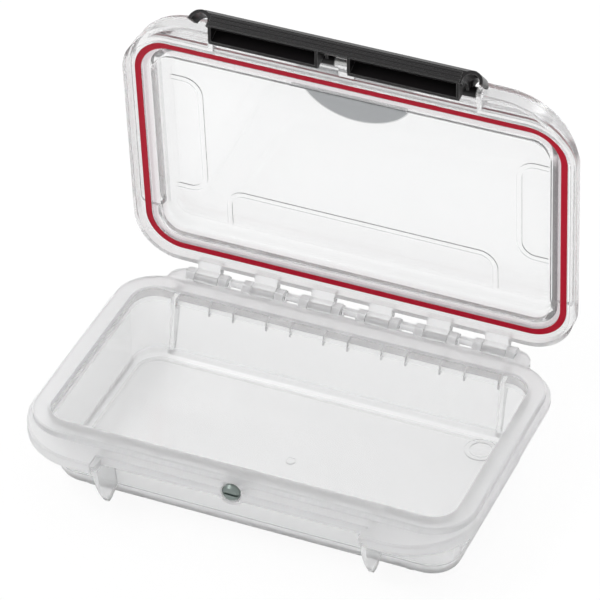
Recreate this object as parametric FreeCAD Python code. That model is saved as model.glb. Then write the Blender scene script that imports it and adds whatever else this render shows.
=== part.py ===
import FreeCAD
import Part
import math
import os

V = FreeCAD.Vector

# Clear waterproof hard case, shown open. Millimetres.
# X runs to the right, Y to the back, Z up. The origin is on the table, below
# the middle of the box opening. Heights named "drop" are measured down from
# the sealing land, heights named "rise" are measured up from it. Lengths named
# "reach" are measured outward from the edge of the opening, lengths named
# "inset" inward from it. The lid and the latch are modelled shut and then
# turned to the open pose.

# Opening, sealing land and rim of the base
opening_length = 192.0
opening_depth = 105.4
opening_corner = 11.5
land_height = 38.0           # sealing land above the table
land_width = 8.0             # flat land that the gasket presses on
land_step = 3.3              # the rim around the land lies this much lower
land_round = 0.6
wall = 2.2                   # moulded wall of the base and the lid
rim_thick = 3.2
rim_reach = 10.3             # rim beyond the opening, sides and back
corner_reach = 19.8          # front corner blocks beyond the opening
corner_drop = 8.6            # underside of the corner blocks
front_corner = 33.0
rear_corner = 22.0
rim_round = 0.8

# Tub below the rim
floor_thick = 1.8
foot_height = 0.6
side_draft = 3.0             # inward lean of the walls, land to floor
end_draft = 5.9
tub_bottom_round = 2.5
tub_inside_round = 4.0
foot_outer = 7.5
foot_inner = 5.2
foot_inset_x = 20.1
foot_inset_y = 13.2
pad_radius = 2.2             # centre pad at the moulding gate
gusset_thick = 0.9
gusset_x = 39.5              # the two front gussets
gusset_drop = 11.0
gusset_reach = 6.9           # clear of the hook

# Latch catch and its two guards
guard_x = 62.9
guard_thick = 2.3
catch_reach = 12.8           # catch lip beyond the opening
catch_drop = 8.0             # the hook pulls up on this edge
guard_curve = ((19.6, 4.5), (16.7, 11.3), (14.4, 19.9), (10.1, 28.4), (6.4, 34.0))
guard_heel = 3.6             # the curve is given as (reach, drop)

# Pressure screw in the middle of the front
screw_drop = 4.8
screw_seat_reach = 10.5
screw_head = 8.4
screw_head_long = 2.4
screw_shank = 2.4
screw_fit = 0.06
screw_seal = 6.8
seal_thick = 0.8
boss_radius = 6.3
boss_bore = 9.6

# Hinge
hinge_reach = 17.7
hinge_drop = 4.7
knuckle_pitch = 28.2
knuckle_count = 6
knuckle_radius = 4.0
lid_knuckle = 11.2           # width of a lid knuckle
knuckle_gap = 0.3
window_width = 8.0
window_before = 3.8          # the windows' edges before and behind the hinge line
window_behind = 1.0
slot_clear = 0.6             # slot in front of a knuckle
leaf_behind = 3.2
leaf_inset = 7.5
leaf_corner = 8.0
hinge_pin = 2.4
pin_fit = 0.06
post_inset = 15.5
post_thick = 2.2
lid_open_angle = 85.94

# Lid
seal_gap = 0.3               # lid face above the land when shut
lip_fit = 0.7                # lip around the land
lip_reach = 10.9
lip_front = 11.7
lip_latch_front = 9.9        # lip in front, where the latch turns
lip_drop = 3.0
lid_corner = 22.5
deck_rise = 4.2              # top of the lid's flange
hood_rise = 7.4
hood_side = 9.5
hood_front = 20.3
hood_inset = 13.7            # the hood's back edge
hood_round = 1.4
top_rise = 13.4
top_reach = 1.3
top_slope = 2.0
top_round = 2.4
cavity_inset = 1.0
cavity_rise = 11.2
cavity_draft = 1.2
cavity_round = 4.5
gasket_inner = 3.33
gasket_width = 3.1
gasket_depth = 2.7
gasket_fit = 0.05
gasket_proud = 0.15
frame_line = 2.4
frame_high = 0.6
frame_corner = 9.0
frame_side = 21.0            # inset of the side frames from the ends
frame_left = (19.7, 20.7)    # their insets in front and behind
frame_right = (22.7, 27.7)
frame_back = (30.0, 25.7)    # insets of the back frame from the ends and the back

# Latch
latch_reach = 19.3
latch_drop = 0.8
latch_barrel = 2.5
latch_pin = 2.0
latch_body_half = 58.3
latch_strip_drop = 9.6
saddle_half = 5.4            # half width of the saddle over each guard
saddle_wall = 1.6
latch_middle_gap = 6.8
latch_web_outer = ((21.9, -0.2), (22.3, 4.0), (22.0, 9.0), (20.8, 13.0), (18.9, 16.8),
                   (16.1, 19.2), (10.2, 17.6))      # as (reach, drop)
latch_web = 1.9
hook_gap = 0.35
hook_thick = 2.0
hook_tip_reach = 7.7
latch_rib = 1.3
grip_radius = 0.55
end_plate_x = 61.9
end_lobe = 2.9
pin_end = 1.2                # how far the latch pin goes into each end plate
lug_half = 3.6
lug_lobe = 2.6
latch_open_angle = 75.0

half_x = opening_length / 2
half_y = opening_depth / 2
beyond = opening_length + opening_depth      # farther out than any piece
hinge_y = half_y + hinge_reach
hinge_z = land_height - hinge_drop
window_from = hinge_y - window_before
window_to = hinge_y + window_behind
slot_from = hinge_y - knuckle_radius - slot_clear
leaf_back = hinge_y + leaf_behind
leaf_half = half_x - leaf_inset
post_x = half_x - post_inset
hood_back_y = half_y - hood_inset
foot_x = half_x - foot_inset_x
foot_y = half_y - foot_inset_y
catch_y = -half_y - catch_reach
gusset_front_y = -half_y - gusset_reach
latch_y = -half_y - latch_reach
latch_z = land_height - latch_drop
hook_tip_y = -half_y - hook_tip_reach
screw_seat_y = -half_y - screw_seat_reach
screw_z = land_height - screw_drop
boss_front_y = catch_y
tub_low = foot_height
floor_z = foot_height + floor_thick


def down(d):
    return land_height - d


def arc(cx, cy, r, a0, z):
    pts = [V(cx + r * math.cos(math.radians(a)), cy + r * math.sin(math.radians(a)), z)
           for a in (a0, a0 + 45, a0 + 90)]
    return Part.Arc(*pts).toShape()


def outline(hx, y_front, y_back, r, z, r_back=None):
    """Closed rounded rectangle at height z; the back corners can have their own radius."""
    rb = r if r_back is None else r_back
    corners = [(hx - rb, y_back - rb, rb, 0), (rb - hx, y_back - rb, rb, 90),
               (r - hx, y_front + r, r, 180), (hx - r, y_front + r, r, 270)]
    arcs = [arc(cx, cy, cr, a, z) for cx, cy, cr, a in corners]
    edges = []
    for i, a in enumerate(arcs):
        edges.append(a)
        p, q = a.Vertexes[1].Point, arcs[(i + 1) % 4].Vertexes[0].Point
        edges.append(Part.LineSegment(p, q).toShape())
    return Part.Wire(edges)


def around(d, z):
    """The outline of the opening, grown by d all round."""
    return outline(half_x + d, -half_y - d, half_y + d, opening_corner + d, z)


def slab(wire, height):
    return Part.Face(wire).extrude(V(0, 0, height))


def loft(*wires):
    return Part.makeLoft(list(wires), True, True)


def round_steps(r, count):
    """A quarter round in flat steps, from the tight end, as (inset, distance)."""
    turns = [math.radians(90.0 * k / count) for k in range(count + 1)]
    return [(r * (1 - math.sin(a)), r * (1 - math.cos(a))) for a in turns]


def box(x0, x1, y0, y1, z0, z1):
    return Part.makeBox(x1 - x0, y1 - y0, z1 - z0, V(x0, y0, z0))


def rod(x0, x1, y, z, r):
    return Part.makeCylinder(r, x1 - x0, V(x0, y, z), V(1, 0, 0))


def bar_y(y0, y1, z, r, x=0.0):
    return Part.makeCylinder(r, y1 - y0, V(x, y0, z), V(0, 1, 0))


def side_plate(x0, x1, points):
    """A flat plate across X. The points are (y, z)."""
    pts = [V(x0, y, z) for y, z in points]
    return Part.Face(Part.makePolygon(pts + pts[:1])).extrude(V(x1 - x0, 0, 0))


def octagon(cy, cz, r):
    """Corners (y, z) of an octagon whose flats are r from its middle."""
    reach = r / math.cos(math.radians(22.5))
    turns = [math.radians(22.5 + 45 * k) for k in range(8)]
    return [(cy + reach * math.cos(a), cz + reach * math.sin(a)) for a in turns]


def flat_edges(shape, z):
    return [e for e in shape.Edges
            if abs(e.BoundBox.ZMin - z) < 0.01 and abs(e.BoundBox.ZMax - z) < 0.01]


def tub(grow, z_low, z_high, bottom_round, steps):
    """The leaning walls of the tub, with a rounded bottom edge."""
    def level(z, inset):
        hx, hy = wall_x(z, grow) - inset, wall_y(z, grow) - inset
        return outline(hx, -hy, hy, opening_corner + grow * 0.9 - inset, z)
    wires = [level(z_low + rise, inset) for inset, rise in round_steps(bottom_round, steps)]
    return loft(*wires, level(z_high, 0))


def wall_y(z, grow):
    """How far the front and back walls are from the middle at height z."""
    return half_y + grow - end_draft * (land_height - z) / (land_height - floor_z)


def wall_x(z, grow):
    return half_x + grow - side_draft * (land_height - z) / (land_height - floor_z)


def knuckle_centres():
    return [knuckle_pitch * (k - (knuckle_count - 1) / 2) for k in range(knuckle_count)]


def ear_spans():
    """The two ears of the base beside each lid knuckle."""
    near = lid_knuckle / 2 + knuckle_gap
    far = (knuckle_pitch - window_width) / 2
    return [(c - far, c - near) for c in knuckle_centres()] + \
           [(c + near, c + far) for c in knuckle_centres()]


def rim_outline(inset, z):
    return outline(half_x + rim_reach - inset, -half_y - corner_reach + inset,
                   half_y + rim_reach - inset, front_corner - inset, z, rear_corner - inset)


def make_rim():
    plate = slab(rim_outline(0, down(land_step + rim_thick)), rim_thick)
    plate = plate.makeChamfer(rim_round, flat_edges(plate, down(land_step)))
    skirt = slab(rim_outline(0, down(corner_drop)), corner_drop - land_step - 1.0)
    skirt = skirt.cut(slab(rim_outline(wall, down(corner_drop + 1)), 12))
    skirt = skirt.common(box(-beyond, beyond, -beyond, -half_y + 8, 0, beyond))
    shape = plate.fuse(skirt)
    inner = guard_x + guard_thick / 2
    shape = shape.cut(box(-inner, inner, -beyond, catch_y, 0, beyond))
    lip = box(-inner, inner, catch_y, catch_y + wall, down(catch_drop), down(land_step + 1))
    land = slab(around(land_width, down(land_step + rim_thick)), land_step + rim_thick)
    land = land.makeChamfer(land_round, flat_edges(land, land_height))
    return shape.fuse([lip, land])


def make_guards():
    parts = []
    for side in (-1, 1):
        x0 = side * guard_x - guard_thick / 2
        pts = [V(x0, -half_y - r, down(d)) for r, d in guard_curve]
        curve = Part.BSplineCurve()
        curve.interpolate(pts)
        end_y, end_z = pts[-1].y + guard_heel, pts[-1].z
        rest = [pts[-1], V(x0, end_y, end_z), V(x0, -wall_y(end_z + 4, wall) + 0.8, end_z + 4),
                V(x0, -wall_y(down(5), wall) + 0.8, down(4.5)), pts[0]]
        edges = [curve.toShape()]
        edges += [Part.LineSegment(p, q).toShape() for p, q in zip(rest, rest[1:])]
        parts.append(Part.Face(Part.Wire(edges)).extrude(V(guard_thick, 0, 0)))
    return parts


def make_gussets():
    """Thin webs below the rim, in front and behind."""
    parts = []
    top, low = down(land_step + rim_thick - 0.4), down(gusset_drop)
    t = gusset_thick / 2
    for x in (-gusset_x, gusset_x):
        parts.append(side_plate(x - t, x + t, [
            (gusset_front_y, top), (gusset_front_y, top - 0.8), (-wall_y(low, wall) - 0.2, low),
            (-wall_y(low, wall) + 0.7, low), (-wall_y(top, wall) + 0.7, top)]))
    for c in knuckle_centres():
        for x in (c - lid_knuckle / 2 - 2.6, c + lid_knuckle / 2 + 2.6):
            parts.append(side_plate(x - t, x + t, [
                (leaf_back - 9, top), (leaf_back - 9, top - 1.0), (wall_y(low, wall) + 0.2, low),
                (wall_y(low, wall) - 0.7, low), (wall_y(top, wall) - 0.7, top)]))
    return parts


def make_hinge_half():
    """Hinge leaf with its ears, slots and windows, and the two back posts."""
    top = down(land_step)
    leaf = slab(outline(leaf_half, half_y, leaf_back, leaf_corner, top - 3.0), 3.0)
    ears = []
    for x0, x1 in ear_spans():
        ears.append(side_plate(x0, x1, octagon(hinge_y, hinge_z, knuckle_radius)))
        ears.append(box(x0, x1, window_from - 2, hinge_y, hinge_z - knuckle_radius + 0.6, top))
    shape = leaf.fuse(ears)
    for side in (-1, 1):
        x0 = side * post_x - post_thick / 2
        shape = shape.fuse(side_plate(x0, x0 + post_thick, [
            (wall_y(4.0, wall) - 0.8, 3.0), (wall_y(4.0, wall) + 3.2, 3.0),
            (half_y + 7.5, down(9)), (half_y + 7.5, top - 1), (wall_y(top, wall) - 0.8, top - 1)]))
    centres = knuckle_centres()
    for c in centres:
        w = lid_knuckle / 2 + knuckle_gap
        shape = shape.cut(box(c - w, c + w, slot_from, leaf_back + 3, hinge_z - 9, land_height))
    for a, b in zip(centres, centres[1:]):
        m = (a + b) / 2
        w = window_width / 2
        shape = shape.cut(box(m - w, m + w, window_from, window_to, hinge_z - 9, land_height))
    return shape


def make_boss():
    boss = bar_y(boss_front_y, -wall_y(screw_z, wall) + 0.6, screw_z, boss_radius)
    return boss.common(box(-beyond, beyond, -beyond, 0, 0, down(land_step)))


def make_base():
    outer = tub(wall, tub_low, down(1.0), tub_bottom_round, 2)
    inside = tub(0, floor_z, land_height, tub_inside_round, 3)
    parts = make_guards() + make_gussets() + [make_boss(), make_hinge_half(), outer]
    shape = make_rim().fuse(parts)
    for sx in (-1, 1):
        for sy in (-1, 1):
            at = V(sx * foot_x, sy * foot_y, 0)
            foot = Part.makeCylinder(foot_outer, foot_height + 0.3, at)
            shape = shape.fuse(foot.cut(Part.makeCylinder(foot_inner, foot_height, at)))
    shape = shape.fuse(Part.makeCylinder(pad_radius, foot_height + 0.3))
    shape = shape.cut(inside)
    shape = shape.cut(bar_y(screw_seat_y - 6, screw_seat_y, screw_z, boss_bore / 2))
    shape = shape.cut(bar_y(screw_seat_y - 1, -half_y + 5, screw_z, screw_shank / 2 + screw_fit))
    for x0, x1 in ear_spans():
        shape = shape.cut(rod(x0 - 0.2, x1 + 0.2, hinge_y, hinge_z, hinge_pin / 2))
    return shape.removeSplitter()


def make_lid():
    z0 = land_height
    flange = slab(outline(half_x + lip_reach, -half_y - lip_front, half_y + lip_reach,
                          lid_corner, down(lip_drop)), lip_drop + deck_rise)
    flange = flange.makeChamfer(0.7, flat_edges(flange, z0 + deck_rise))
    inner = end_plate_x
    flange = flange.cut(box(-inner, inner, -beyond, -half_y - lip_latch_front, 0, beyond))

    def hood_outline(inset, z):
        return outline(half_x + hood_side - inset, -half_y - hood_front + inset,
                       hood_back_y, front_corner - inset, z, 4.0)
    steps = [hood_outline(inset, z0 + hood_rise - fall)
             for inset, fall in round_steps(hood_round, 1)]
    hood = loft(*steps, hood_outline(0, z0 + deck_rise))
    block = slab(hood_outline(0, down(lip_drop - 0.1)), lip_drop + deck_rise)
    block = block.cut(slab(hood_outline(wall, down(lip_drop + 1)), lip_drop + 1 + deck_rise))
    plate = box(-inner - wall, inner + wall, -half_y - hood_front + 0.8, -half_y - lip_latch_front,
                down(lip_drop - 0.1), z0 + deck_rise)
    block = block.common(box(-beyond, beyond, -beyond, -half_y, 0, beyond)).fuse(plate)
    hood = hood.fuse(block)
    hood = hood.cut(box(-inner, inner, -beyond, -half_y - lip_latch_front - 1.0, 0, beyond))
    hood = hood.cut(box(-inner, inner, -beyond, -half_y - lip_latch_front, 0, z0 + deck_rise))

    def lean(z):
        return top_reach - top_slope * (z - z0 - deck_rise) / (top_rise - deck_rise)
    levels = [(z0 + top_rise - fall, inset) for inset, fall in round_steps(top_round, 1)]
    top = loft(*[around(lean(z) - inset, z) for z, inset in levels + [(z0 + deck_rise - 0.5, 0)]])
    lobes = [side_plate(x0, x1, octagon(latch_y, latch_z, end_lobe))
             for x0, x1 in ((-inner - 1.8, -inner), (inner, inner + 1.8))]
    shape = flange.fuse([hood, top] + make_lid_arms() + [make_latch_lug()] + lobes)

    low = lip_drop + 1
    steps = [around(-cavity_inset - cavity_draft - inset, z0 + cavity_rise - fall)
             for inset, fall in round_steps(cavity_round, 2)]
    cavity = loft(*steps, around(-cavity_inset, down(low)))
    pocket = slab(around(land_width + lip_fit, down(low)), low + seal_gap)
    channel = slab(around(gasket_inner + gasket_width, z0), seal_gap + gasket_depth)
    channel = channel.cut(slab(around(gasket_inner, z0 - 1), 9))
    shape = shape.cut([cavity, pocket, channel])
    shape = shape.fuse(make_frames())
    reach = end_plate_x + pin_end
    return shape.cut(rod(-reach, reach, latch_y, latch_z, latch_pin / 2)).removeSplitter()


def make_lid_arms():
    """Knuckles at the back of the lid and the arms that carry them."""
    parts = []
    w = lid_knuckle / 2
    back = half_y + lip_reach
    for c in knuckle_centres():
        arm = side_plate(c - w, c + w, [
            (back - 2, land_height + deck_rise - 0.5), (back - 2, down(lip_drop)),
            (slot_from + 0.5, down(lip_drop)), (hinge_y - knuckle_radius, hinge_z),
            (hinge_y, hinge_z), (hinge_y + 1.6, hinge_z + knuckle_radius - 0.4),
            (back + 1.0, land_height + 2.4)])
        knuckle = rod(c - w, c + w, hinge_y, hinge_z, knuckle_radius)
        bore = rod(c - w - 1, c + w + 1, hinge_y, hinge_z, hinge_pin / 2 + pin_fit)
        parts.append(knuckle.fuse(arm).cut(bore))
    return parts


def make_latch_lug():
    """The ear in the middle of the lid's front edge; it passes over the screw head."""
    front = -half_y - lip_latch_front
    z0 = land_height
    arm = side_plate(-lug_half, lug_half, [
        (front + 1, z0 + deck_rise), (front + 1, z0 + 0.6), (latch_y + 5.0, z0 + 0.4),
        (latch_y + 1.7, latch_z - 1.9), (latch_y, latch_z), (latch_y - 0.9, latch_z + 2.4),
        (latch_y + 1.5, z0 + 3.6), (latch_y + 4.0, z0 + deck_rise)])
    return arm.fuse(rod(-lug_half, lug_half, latch_y, latch_z, lug_lobe))


def frame_lines(x0, x1, y0, y1, r):
    """Raised outline on the lid's inner floor."""
    z = land_height + cavity_rise - frame_high
    hx = (x1 - x0) / 2
    ring = slab(outline(hx, y0, y1, r, z), frame_high + 0.5)
    ring = ring.cut(slab(outline(hx - frame_line, y0 + frame_line, y1 - frame_line,
                                 r - frame_line, z - 1), frame_high + 3))
    ring.translate(V((x0 + x1) / 2, 0, 0))
    return ring


def make_frames():
    far = half_x + 20
    side, ends = half_x - frame_side, half_x - frame_back[0]
    shapes = [frame_lines(-far, -side, frame_left[0] - half_y, half_y - frame_left[1],
                          frame_corner),
              frame_lines(side, far, frame_right[0] - half_y, half_y - frame_right[1],
                          frame_corner),
              frame_lines(-ends, ends, half_y - frame_back[1], half_y + 20, frame_corner)]
    clip = slab(around(-cavity_inset - cavity_draft - 0.6,
                       land_height + cavity_rise - 2), 4)
    return [s.common(clip) for s in shapes]


def make_gasket():
    low = land_height + seal_gap - gasket_proud
    high = land_height + seal_gap + gasket_depth - gasket_fit
    ring = slab(around(gasket_inner + gasket_width - gasket_fit, low), high - low)
    return ring.cut(slab(around(gasket_inner + gasket_fit, low - 1), 9))


def web_points():
    """Outer and inner line of the latch's curved web, as (y, z)."""
    outer = [(-half_y - r, down(d)) for r, d in latch_web_outer]
    inner = []
    for i, (y, z) in enumerate(outer):
        ay, az = outer[max(i - 1, 0)]
        by, bz = outer[min(i + 1, len(outer) - 1)]
        n = math.hypot(by - ay, bz - az)
        inner.append((y - (bz - az) / n * latch_web, z + (by - ay) / n * latch_web))
    return outer, inner


def make_saddles():
    """Arched ends of the cover, half tubes that lean with the web, and the room
    in them. Each one straddles a guard of the base."""
    outer = web_points()[0]
    low, high = outer[5][1], down(latch_strip_drop)
    crown = outer[5][0] - 1.0
    lean = V(0, outer[2][0] + 0.1 - crown, high - low)
    mid_y = crown + saddle_half * lean.Length / lean.z
    front = [(mid_y, low), (mid_y + lean.y, high), (-beyond, high), (-beyond, low)]
    under = [outer[5], outer[6], (outer[6][0] + 3, low - 1)]
    arches, rooms = [], []
    for x in (-guard_x, guard_x):
        start = V(x, mid_y, low) - lean
        tube, bore = (Part.makeCylinder(r, 3 * lean.Length, start, lean)
                      for r in (saddle_half, saddle_half - saddle_wall))
        arch = tube.common(side_plate(x - 9, x + 9, front))
        arches.append(arch.cut(side_plate(x - 9, x + 9, under)))
        rooms.append(bore)
    return arches, rooms


def make_latch():
    """The latch as it sits when shut: a curved cover over two hooked pockets."""
    outer, inner = web_points()
    far = guard_x + saddle_half + 1
    arches, rooms = make_saddles()
    shape = side_plate(-guard_x, guard_x, outer + inner[::-1])
    for s in (-1, 1):
        x0, x1 = sorted((s * (end_plate_x - 0.3), s * far))
        shape = shape.cut(box(x0, x1, -beyond, -half_y, down(latch_strip_drop), beyond))
    shape = shape.fuse(arches).cut(rooms)
    hook_top = down(catch_drop + hook_gap)
    hook_low = hook_top - hook_thick
    for s in (-1, 1):
        a, b = sorted((s * latch_middle_gap, s * latch_body_half))
        shape = shape.fuse(box(a, b, outer[2][0] + 0.9, hook_tip_y, hook_low, hook_top))
        for x in (latch_middle_gap, latch_body_half - latch_rib):
            p, q = sorted((s * x, s * (x + latch_rib)))
            shape = shape.fuse(side_plate(p, q, [(y + 0.6, z) for y, z in outer[:4]] + [
                (outer[4][0] + 0.6, outer[4][1] + 0.3), (outer[5][0], outer[5][1] + 0.5),
                outer[6], (hook_tip_y, hook_low), (hook_tip_y, hook_top),
                (latch_y + 1.4, hook_top), (latch_y + 1.4, latch_z)]))
        a, b = sorted((s * (lug_half + 0.4), s * (end_plate_x - 0.3)))
        shape = shape.fuse(rod(a, b, latch_y, latch_z, latch_barrel))
    w = lug_half + 0.4
    shape = shape.cut(rod(-w, w, latch_y, latch_z, lug_lobe + 0.4))
    shape = shape.cut(rod(-far, far, latch_y, latch_z, latch_pin / 2 + pin_fit))
    for k in range(3):
        t = 0.2 + 0.3 * k
        y = outer[5][0] + (outer[6][0] - outer[5][0]) * t
        z = outer[5][1] + (outer[6][1] - outer[5][1]) * t
        shape = shape.fuse(rod(-latch_body_half, latch_body_half, y, z, grip_radius))
    return shape.removeSplitter()


def make_hinge_pins():
    reach = (knuckle_pitch - window_width) / 2 - 0.4
    return [rod(c - reach, c + reach, hinge_y, hinge_z, hinge_pin / 2) for c in knuckle_centres()]


def make_latch_pin():
    reach = end_plate_x + pin_end
    return rod(-reach, reach, latch_y, latch_z, latch_pin / 2)


def make_screw():
    """Round-headed pressure screw with a slot."""
    back = screw_seat_y - seal_thick
    front = back - screw_head_long
    r = screw_head / 2
    head = bar_y(back - screw_head_long * 0.5, back, screw_z, r)
    crown = Part.makeCone(r, r - screw_head_long * 0.45, screw_head_long * 0.5,
                          V(0, back - screw_head_long * 0.5, screw_z), V(0, -1, 0))
    shank = bar_y(back, -half_y - 0.3, screw_z, screw_shank / 2)
    slot = box(-r - 1, r + 1, front - 1, front + 1.0, screw_z - 0.6, screw_z + 0.6)
    return head.fuse([crown, shank]).cut(slot)


def make_screw_seal():
    ring = bar_y(screw_seat_y - seal_thick, screw_seat_y, screw_z, screw_seal / 2)
    return ring.cut(bar_y(screw_seat_y - 2, screw_seat_y + 1, screw_z, screw_shank / 2 + 0.05))


def turn_lid(shape):
    """Swing what the lid carries to the open pose."""
    s = shape.copy()
    s.rotate(V(0, hinge_y, hinge_z), V(1, 0, 0), -lid_open_angle)
    return s


def turn_latch(shape):
    """Swing the latch out on the shut lid, then open the lid with it."""
    s = shape.copy()
    s.rotate(V(0, latch_y, latch_z), V(1, 0, 0), -latch_open_angle)
    return turn_lid(s)


def build():
    pieces = {"base_shell": make_base(), "lid_shell": turn_lid(make_lid()),
              "gasket": turn_lid(make_gasket()), "latch": turn_latch(make_latch()),
              "latch_pin": turn_lid(make_latch_pin()),
              "pressure_screw": make_screw(), "screw_seal": make_screw_seal()}
    for k, pin in enumerate(make_hinge_pins()):
        pieces["hinge_pin_%d" % (k + 1)] = pin
    return pieces


os.makedirs("parts", exist_ok=True)
for name, shape in build().items():
    print(name, len(shape.Solids), "valid", shape.isValid(), "volume", round(shape.Volume, 1))
    shape.exportStep("parts/%s.step" % name)
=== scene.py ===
from math import radians

import bpy
from mathutils import Matrix, Vector


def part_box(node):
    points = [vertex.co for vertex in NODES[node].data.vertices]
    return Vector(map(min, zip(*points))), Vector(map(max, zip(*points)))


# A clear waterproof hard case, open, on a white table. Lengths are in metres.

bpy.ops.wm.read_factory_settings(use_empty=True)
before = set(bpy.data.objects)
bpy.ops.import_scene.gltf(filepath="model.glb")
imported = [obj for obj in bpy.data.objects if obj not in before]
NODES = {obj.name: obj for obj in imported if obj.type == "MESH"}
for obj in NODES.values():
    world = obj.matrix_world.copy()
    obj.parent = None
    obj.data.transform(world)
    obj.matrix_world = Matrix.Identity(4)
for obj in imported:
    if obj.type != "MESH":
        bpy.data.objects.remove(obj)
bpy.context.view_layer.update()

# The camera: degrees to the right of the case's front, above the table and
# rolled to one side, its distance, and the point that it looks at.
CAMERA_AZIMUTH = 23.176
CAMERA_ELEVATION = 37.293
CAMERA_ROLL = -0.59
CAMERA_DISTANCE = 1.8
CAMERA_AIM = (-0.0025, 0.0184, 0.078)
CAMERA_LENS = 245.95
CAMERA_SENSOR = 36.0
CAMERA_FAR = 20.0

# The lamps, as place, width, height and watts, and the point that they face.
KEY_LAMP = ((-0.7, -0.5, 1.1), 0.5, 0.5, 6.0)
RIM_LAMP = ((0.3, 1.1, 0.9), 0.9, 0.3, 5.0)
LAMP_AIM = (0.0, 0.02, 0.07)

# The room's grey from straight down (0) to straight up (1), as it is seen
# through the clear plastic and as it lights the case.
ROOM_SEEN = ((0.0, 1.0), (0.56, 1.0), (0.72, 0.5), (1.0, 0.6))
ROOM_LIGHT = ((0.0, 1.0), (0.5, 0.8), (0.7, 0.9), (1.0, 1.0))

# The table top, just under the feet. What isn't glow is paint, which takes shadow.
TABLE_SIDE = 6.0
TABLE_DROP = 0.0003
TABLE_GLOW = 0.9
TABLE_PAINT = (0.9, 0.9, 0.9, 1)
WHITE = (1, 1, 1, 1)

# Both clear shells refract alike, and have the same slow waves in their walls
# and the same rounded corners inside.
REFRACTION = 1.47
WAVE_SCALE = 26.0
WAVE_DETAIL = 2.0
WAVE_HEIGHT = 0.0004
WAVE_STRENGTH = 0.35
OPENING_CORNER = 0.0115

# The open lid. Its clear panel lies inside the gasket, the arms of its hinge
# below, and the satin thumb recess at the panel's upper edge.
LID_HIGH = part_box("lid_shell")[1]
GASKET_LOW, GASKET_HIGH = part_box("gasket")
PANEL_INSET = 0.0059
PANEL_Z = (GASKET_LOW[2] + GASKET_HIGH[2]) / 2
PANEL_HALF = (GASKET_HIGH[0] - PANEL_INSET, GASKET_HIGH[2] - PANEL_Z - PANEL_INSET)
PANEL_EDGE = 0.0004
FOOT_OF_PANEL = 0.0032
DULL_BELOW = PANEL_Z - PANEL_HALF[1] + FOOT_OF_PANEL
ARMS_DROP = 0.0039
ARMS_TOP = GASKET_LOW[2] - ARMS_DROP
GASKET_FROM = 0.0036
THUMB_HALF = 0.028
THUMB_DEEP = 0.021
THUMB_DROP = 0.0014
THUMB_Z = PANEL_Z + PANEL_HALF[1] - THUMB_DROP
PANEL_BEHIND = 0.0075
THUMB_BACK = LID_HIGH[1] - PANEL_BEHIND

# The base. The lid's panel is a little larger than its opening. The frosted
# rim is RIM_HIGH deep from the top and starts FROST_INSIDE the opening's edge.
BASE_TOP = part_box("base_shell")[1][2]
RIM_HIGH = 0.0095
RIM_FROM = BASE_TOP - RIM_HIGH
PANEL_SPARE = 0.0005
OPENING_HALF = (PANEL_HALF[0] - PANEL_SPARE, PANEL_HALF[1] - PANEL_SPARE)
FROST_INSIDE = 0.0002
FLOOR_INSET = (0.0075, 0.0104)
FLOOR_HALF = (OPENING_HALF[0] - FLOOR_INSET[0], OPENING_HALF[1] - FLOOR_INSET[1])
FLOOR_CORNER = 0.0075
ROUNDS_FROM = 0.0064
FOOT_HIGH = 0.0007
UPRIGHT = 0.5

# How far each finish takes to pass into the next one. The thumb recess's is a
# share of its size.
RIM_FADE = 0.002
ROUNDS_FADE = 0.0014
FLOOR_FADE = 0.005
BORDER_FADE = 0.0011
FOOT_FADE = 0.0025
THUMB_FADE = 0.04

# Colours of the clear plastic where it is polished, satin or frosted, the painted
# reflection of the gasket and latch on the sealing edge, the painted shade in the
# thumb recess and the painted shade on the sides of the feet.
TUB_TONE = (0.97, 0.972, 0.975, 1)
RIM_TONE = (0.95, 0.95, 0.955, 1)
PANEL_TONE = (0.985, 0.988, 0.99, 1)
SEALING_REFLECTION_TONE = (0.72, 0.66, 0.68, 1)
BORDER_TONE = (0.93, 0.93, 0.933, 1)
THUMB_SHADE_TONE = (0.20, 0.21, 0.22, 1)
FOOT_SHADE_TONE = (0.45, 0.46, 0.47, 1)

# Roughness of the tub and the panel, and what frost, rounds or satin add to it.
TUB_ROUGH = 0.14
RIM_ROUGH = 0.34
ROUNDS_ROUGH = 0.22
PANEL_ROUGH = 0.04
BORDER_ROUGH = 0.12
THUMB_ROUGH = 0.35

# Grain of the opaque pieces: its depth, the size and spread of the changes in
# roughness, and how fast the painted highlight on an edge shows.
GRAIN_DEPTH = 0.00002
GRAIN_DETAIL = 3.0
CLOUD_SCALE = 38.0
CLOUD_DETAIL = 4.0
ROUGHNESS_SPREAD = 0.08
EDGE_HIGHLIGHT_GAIN = 9.0


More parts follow.
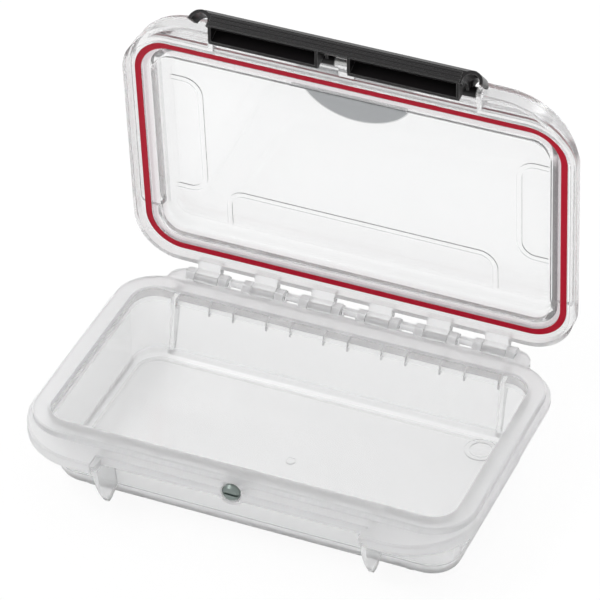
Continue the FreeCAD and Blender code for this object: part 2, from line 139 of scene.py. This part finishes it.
class Tree:
    """Short calls for building a node tree."""

    def __init__(self, tree):
        self.tree = tree

    def add(self, kind, inputs=None, **settings):
        """A new node with its settings and inputs."""
        node = self.tree.nodes.new(kind)
        for name, value in settings.items():
            setattr(node, name, value)
        for name, value in (inputs or {}).items():
            self.put(node.inputs[name], value)
        return node

    def put(self, socket, value):
        """Link a socket to another one, or set its value."""
        if isinstance(value, bpy.types.NodeSocket):
            self.tree.links.new(value, socket)
        else:
            socket.default_value = value

    def math(self, operation, a, b=0.0, clamp=False):
        """One operation on two values. clamp keeps the result from 0 to 1."""
        node = self.add("ShaderNodeMath", {0: a, 1: b}, operation=operation, use_clamp=clamp)
        return node.outputs[0]

    def add_up(self, *values):
        """The sum of all the values."""
        total = values[0]
        for value in values[1:]:
            total = self.math("ADD", total, value)
        return total

    def times(self, a, b):
        return self.math("MULTIPLY", a, b)

    def minus(self, a, b):
        return self.math("SUBTRACT", a, b)

    def diagonal(self, a, b):
        """The diagonal of a rectangle with the sides a and b."""
        return self.math("SQRT", self.add_up(self.times(a, a), self.times(b, b)))

    def fade(self, value, start, over):
        """0 up to start, then rising to 1 over a length."""
        return self.math("MULTIPLY", self.minus(value, start), 1.0 / over, clamp=True)

    def ramp(self, value, stops):
        """Grey that follows the stops, each a position and its grey."""
        node = self.add("ShaderNodeValToRGB", {"Fac": value})
        bar = node.color_ramp.elements
        while len(bar) < len(stops):
            bar.new(0.5)
        for element, (position, grey) in zip(bar, stops):
            element.position = position
            element.color = (grey, grey, grey, 1)
        return node.outputs[0]

    def blend(self, fac, a, b):
        """Colour a where fac is 0 and b where it is 1. Sockets 6 and 7 take the colours."""
        return self.add("ShaderNodeMix", {0: fac, 6: a, 7: b}, data_type="RGBA").outputs[2]

    def mix(self, fac, a, b):
        """Shader a where fac is 0 and b where it is 1."""
        return self.add("ShaderNodeMixShader", {0: fac, 1: a, 2: b}).outputs[0]

    def where(self):
        """The point on the piece, as it stands with the lid open."""
        return self.add("ShaderNodeTexCoord").outputs["Object"]

    def place(self):
        """X, Y and Z of that point."""
        at = self.add("ShaderNodeSeparateXYZ", {0: self.where()})
        return at.outputs["X"], at.outputs["Y"], at.outputs["Z"]

    def noise(self, scale, detail):
        """Smooth noise on the piece, from 0 to 1."""
        node = self.add("ShaderNodeTexNoise", {"Vector": self.where(), "Scale": scale, "Detail": detail})
        return node.outputs["Fac"]

    def past_outline(self, u, v, half, corner):
        """Distance outside a rounded rectangle round the origin."""
        a = self.minus(self.math("ABSOLUTE", u), half[0] - corner)
        b = self.minus(self.math("ABSOLUTE", v), half[1] - corner)
        outside = self.diagonal(self.math("MAXIMUM", a, 0.0), self.math("MAXIMUM", b, 0.0))
        inside = self.math("MINIMUM", self.math("MAXIMUM", a, b), 0.0)
        return self.minus(self.add_up(outside, inside), corner)


def new_group(name, inputs, outputs):
    """A node group. Inputs are (name, value), outputs (name, type)."""
    group = bpy.data.node_groups.new(name, "ShaderNodeTree")
    for label, value in inputs:
        socket = group.interface.new_socket(label, in_out="INPUT", socket_type="NodeSocketFloat")
        socket.default_value = value
    for label, kind in outputs:
        group.interface.new_socket(label, in_out="OUTPUT", socket_type=kind)
    t = Tree(group)
    return t, t.add("NodeGroupInput").outputs, t.add("NodeGroupOutput").inputs


def moulding_grain():
    """Fine moulding grain, a change of roughness, and the edges of a piece, where a painted highlight goes.
    """
    t, given, out = new_group(
        "moulding grain",
        [("Scale", 900.0), ("Roughness", 0.4), ("Edge", 0.0003)],
        [("Normal", "NodeSocketVector"), ("Roughness", "NodeSocketFloat"), ("Edge highlight", "NodeSocketFloat")])
    edge = t.add("ShaderNodeBevel", {"Radius": given["Edge"]}, samples=4).outputs[0]
    bump = t.add("ShaderNodeBump", {
        "Height": t.noise(given["Scale"], GRAIN_DETAIL), "Distance": GRAIN_DEPTH,
        "Strength": 1.0, "Normal": edge})
    flat = t.add("ShaderNodeNewGeometry").outputs["Normal"]
    turn = t.add("ShaderNodeVectorMath", {0: edge, 1: flat}, operation="DOT_PRODUCT")
    cloud = t.times(t.minus(t.noise(CLOUD_SCALE, CLOUD_DETAIL), 0.5), ROUGHNESS_SPREAD)
    t.put(out["Normal"], bump.outputs[0])
    t.put(out["Roughness"], t.add_up(given["Roughness"], cloud))
    # How strongly each edge takes the painted highlight.
    t.put(out["Edge highlight"], t.math("MULTIPLY", t.minus(1.0, turn.outputs["Value"]), EDGE_HIGHLIGHT_GAIN, clamp=True))
    return t.tree


def moulding_waves():
    """The slow waves that moulding leaves in a clear wall."""
    t, given, out = new_group("moulding waves", [("Height", WAVE_HEIGHT)], [("Normal", "NodeSocketVector")])
    bump = t.add("ShaderNodeBump", {
        "Height": t.noise(WAVE_SCALE, WAVE_DETAIL), "Distance": given["Height"], "Strength": WAVE_STRENGTH})
    t.put(out["Normal"], bump.outputs[0])
    return t.tree


GRAIN = moulding_grain()
WAVES = moulding_waves()


def new_material(name):
    """A material with an empty tree, and the socket for its shader."""
    m = bpy.data.materials.new(name)
    m.use_nodes = True
    t = Tree(m.node_tree)
    t.tree.nodes.clear()
    return m, t, t.add("ShaderNodeOutputMaterial").inputs["Surface"]


def solid(name, color, roughness, metallic=0.0, scale=900.0, edge=0.0003, edge_highlight=None, shine=0.5):
    """An opaque material, with a painted highlight in the given colour on its edges."""
    m, t, surface = new_material(name)
    grain = t.add("ShaderNodeGroup", node_tree=GRAIN)
    grain.inputs["Scale"].default_value = scale
    grain.inputs["Roughness"].default_value = roughness
    grain.inputs["Edge"].default_value = edge
    paint = (*color, 1)
    # A painted highlight on the edges, lighter than the plastic.
    if edge_highlight:
        paint = t.blend(grain.outputs["Edge highlight"], paint, (*edge_highlight, 1))
    shader = t.add("ShaderNodeBsdfPrincipled", {
        "Base Color": paint, "Metallic": metallic, "Specular IOR Level": shine,
        "Roughness": grain.outputs["Roughness"], "Normal": grain.outputs["Normal"]})
    t.put(surface, shader.outputs[0])
    return m


def clear(name, clearness, color, roughness, waves=WAVE_HEIGHT):
    """Clear plastic. color and roughness are functions of the tree, or plain values."""
    m, t, surface = new_material(name)
    wall = t.add("ShaderNodeGroup", node_tree=WAVES)
    wall.inputs["Height"].default_value = waves
    shader = t.add("ShaderNodeBsdfPrincipled", {
        "Transmission Weight": clearness, "IOR": REFRACTION, "Normal": wall.outputs["Normal"],
        "Base Color": color(t) if callable(color) else color,
        "Roughness": roughness(t) if callable(roughness) else roughness})
    t.put(surface, shader.outputs[0])
    return m


def rim_of_base(t):
    """1 on the frosted land and rim of the base, 0 on the tub."""
    x, y, z = t.place()
    outside = t.math("GREATER_THAN", t.past_outline(x, y, OPENING_HALF, OPENING_CORNER), -FROST_INSIDE)
    return t.times(t.fade(z, RIM_FROM, RIM_FADE), outside)


def feet_shade_mask(t):
    """1 on the upright sides of the feet, where their shade is painted."""
    normal = t.add("ShaderNodeNewGeometry").outputs["True Normal"]
    slope = t.math("ABSOLUTE", t.add("ShaderNodeSeparateXYZ", {0: normal}).outputs["Z"])
    return t.times(t.math("LESS_THAN", slope, UPRIGHT), t.math("LESS_THAN", t.place()[2], FOOT_HIGH))


def rounds_of_tub(t):
    """1 on the rounds between the floor and the walls."""
    x, y, z = t.place()
    low = t.minus(1.0, t.fade(z, ROUNDS_FROM, ROUNDS_FADE))
    return t.times(low, t.fade(t.past_outline(x, y, FLOOR_HALF, FLOOR_CORNER), 0.0, FLOOR_FADE))


def base_color(t):
    """The tub's colour, the rim's, and the painted shade on the sides of the feet."""
    tone = t.blend(rim_of_base(t), TUB_TONE, RIM_TONE)
    # Painted shade lines on the upright sides of the feet.
    return t.blend(feet_shade_mask(t), tone, FOOT_SHADE_TONE)


def base_roughness(t):
    """Glossy walls and floor, soft rounds between them, and a frosted rim."""
    return t.add_up(t.times(rim_of_base(t), RIM_ROUGH), t.times(rounds_of_tub(t), ROUNDS_ROUGH), TUB_ROUGH)


def past_panel(t):
    """Distance outside the clear panel of the open lid."""
    x, _, z = t.place()
    return t.past_outline(x, t.minus(z, PANEL_Z), PANEL_HALF, OPENING_CORNER)


def border_of_lid(t, past):
    """0 on the clear panel, 1 round it."""
    return t.fade(past, -PANEL_EDGE, BORDER_FADE)


def thumb_recess(t):
    """1 on the satin thumb recess on the inside of the lid, which also gets painted shade, 0 elsewhere."""
    x, y, z = t.place()
    across = t.math("DIVIDE", x, THUMB_HALF)
    down = t.math("DIVIDE", t.minus(z, THUMB_Z), THUMB_DEEP)
    oval = t.minus(1.0, t.fade(t.diagonal(across, down), 1.0 - THUMB_FADE, THUMB_FADE))
    here = t.times(t.math("LESS_THAN", y, THUMB_BACK), t.math("LESS_THAN", z, THUMB_Z))
    return t.times(oval, here)


def lid_color(t):
    """The panel's colour, the painted reflection of the gasket and latch on the sealing edge, the outer
    border's colour and the painted shade in the thumb recess.
    """
    past = past_panel(t)
    arms = t.math("LESS_THAN", t.place()[2], ARMS_TOP)
    outer = t.math("MAXIMUM", t.math("GREATER_THAN", past, GASKET_FROM), arms)
    # Painted reflection of the red gasket and the black latch on the sealing edge, inside the gasket.
    tone = t.blend(border_of_lid(t, past), PANEL_TONE, t.blend(outer, SEALING_REFLECTION_TONE, BORDER_TONE))
    # Painted shade in the thumb recess.
    return t.blend(thumb_recess(t), tone, THUMB_SHADE_TONE)


def lid_roughness(t):
    """A polished panel in a satin border, which is duller at the foot."""
    foot = t.fade(t.times(t.place()[2], -1.0), -DULL_BELOW, FOOT_FADE)
    satin = t.times(t.times(border_of_lid(t, past_panel(t)), t.add_up(foot, 1.0)), BORDER_ROUGH)
    return t.add_up(satin, t.times(thumb_recess(t), THUMB_ROUGH), PANEL_ROUGH)


CLEAR_PIN = clear("clear pin", 0.65, TUB_TONE, 0.08)
LOOKS = {
    "base_shell": clear("clear base", 0.76, base_color, base_roughness),
    "lid_shell": clear("clear lid", 0.88, lid_color, lid_roughness),
    "gasket": solid("red gasket", (0.40, 0.001, 0.018), 0.40, scale=700.0, shine=0.2),
    # The latch's edges get a painted highlight.
    "latch": solid("black latch", (0.007, 0.0062, 0.0066), 0.32, scale=1300.0, edge=0.00035,
                   edge_highlight=(0.13, 0.13, 0.13), shine=0.22),
    "latch_pin": solid("steel pin", (0.62, 0.62, 0.60), 0.28, metallic=1.0, scale=2200.0),
    "pressure_screw": solid("dark screw", (0.20, 0.235, 0.22), 0.33, metallic=1.0, scale=1500.0),
    "screw_seal": solid("black seal", (0.02, 0.02, 0.02), 0.5),
}


def dress_pieces():
    """Each piece gets its own finish, and the hinge pins the clear one."""
    for name, node in NODES.items():
        node.data.materials.clear()
        node.data.materials.append(LOOKS.get(name, CLEAR_PIN))


def softbox(name, at, width, height, power):
    """A soft rectangular lamp that can't be seen itself."""
    data = bpy.data.lights.new(name, "AREA")
    data.shape = "RECTANGLE"
    data.size = width
    data.size_y = height
    data.energy = power
    lamp = bpy.data.objects.new(name, data)
    lamp.location = at
    lamp.rotation_euler = (Vector(LAMP_AIM) - Vector(at)).to_track_quat("-Z", "Y").to_euler()
    lamp.visible_camera = False
    lamp.visible_transmission = False
    bpy.context.scene.collection.objects.link(lamp)


def white_room():
    """White to the camera, and a soft grey ceiling to what is seen through the case."""
    world = bpy.data.worlds.new("white room")
    bpy.context.scene.world = world
    world.use_nodes = True
    t = Tree(world.node_tree)
    t.tree.nodes.clear()
    path = t.add("ShaderNodeLightPath").outputs
    direction = t.add("ShaderNodeTexCoord").outputs["Generated"]
    up = t.add("ShaderNodeSeparateXYZ", {0: direction}).outputs["Z"]
    level = t.add_up(t.times(up, 0.5), 0.5)
    plain = t.add("ShaderNodeBackground", {"Color": WHITE}).outputs[0]
    seen = t.add("ShaderNodeBackground", {"Color": t.ramp(level, ROOM_SEEN)}).outputs[0]
    light = t.add("ShaderNodeBackground", {"Color": t.ramp(level, ROOM_LIGHT)}).outputs[0]
    room = t.mix(path["Is Camera Ray"], t.mix(path["Is Transmission Ray"], light, seen), plain)
    t.put(t.add("ShaderNodeOutputWorld").inputs["Surface"], room)


def white_table():
    """A white table top that keeps a faint shadow. From below it is clear."""
    m, t, surface = new_material("white table")
    path = t.add("ShaderNodeLightPath").outputs
    below = t.add("ShaderNodeNewGeometry").outputs["Backfacing"]
    seen = t.math("MAXIMUM", path["Is Camera Ray"], path["Is Transmission Ray"])
    paint = t.add("ShaderNodeBsdfDiffuse", {"Color": TABLE_PAINT}).outputs[0]
    glow = t.add("ShaderNodeEmission", {"Color": WHITE, "Strength": 1.0}).outputs[0]
    gone = t.add("ShaderNodeBsdfTransparent").outputs[0]
    top = t.mix(t.times(seen, TABLE_GLOW), paint, glow)
    t.put(surface, t.mix(below, top, gone))
    bpy.ops.mesh.primitive_plane_add(size=TABLE_SIDE, location=(0.0, 0.0, -TABLE_DROP))
    table = bpy.context.object
    table.name = "table"
    table.data.materials.append(m)


def photo_camera():
    """The camera at the photograph's viewing angle."""
    data = bpy.data.cameras.new("photo camera")
    data.lens = CAMERA_LENS
    data.sensor_width = CAMERA_SENSOR
    data.clip_end = CAMERA_FAR
    camera = bpy.data.objects.new("photo camera", data)
    camera.matrix_world = (
        Matrix.Translation(CAMERA_AIM)
        @ Matrix.Rotation(radians(CAMERA_AZIMUTH), 4, "Z")
        @ Matrix.Rotation(radians(90 - CAMERA_ELEVATION), 4, "X")
        @ Matrix.Rotation(radians(CAMERA_ROLL), 4, "Z")
        @ Matrix.Translation((0, 0, CAMERA_DISTANCE)))
    bpy.context.scene.collection.objects.link(camera)
    bpy.context.scene.camera = camera


dress_pieces()
softbox("key", *KEY_LAMP)
softbox("rim", *RIM_LAMP)
white_room()
white_table()
photo_camera()
bpy.context.scene.view_settings.view_transform = "Standard"
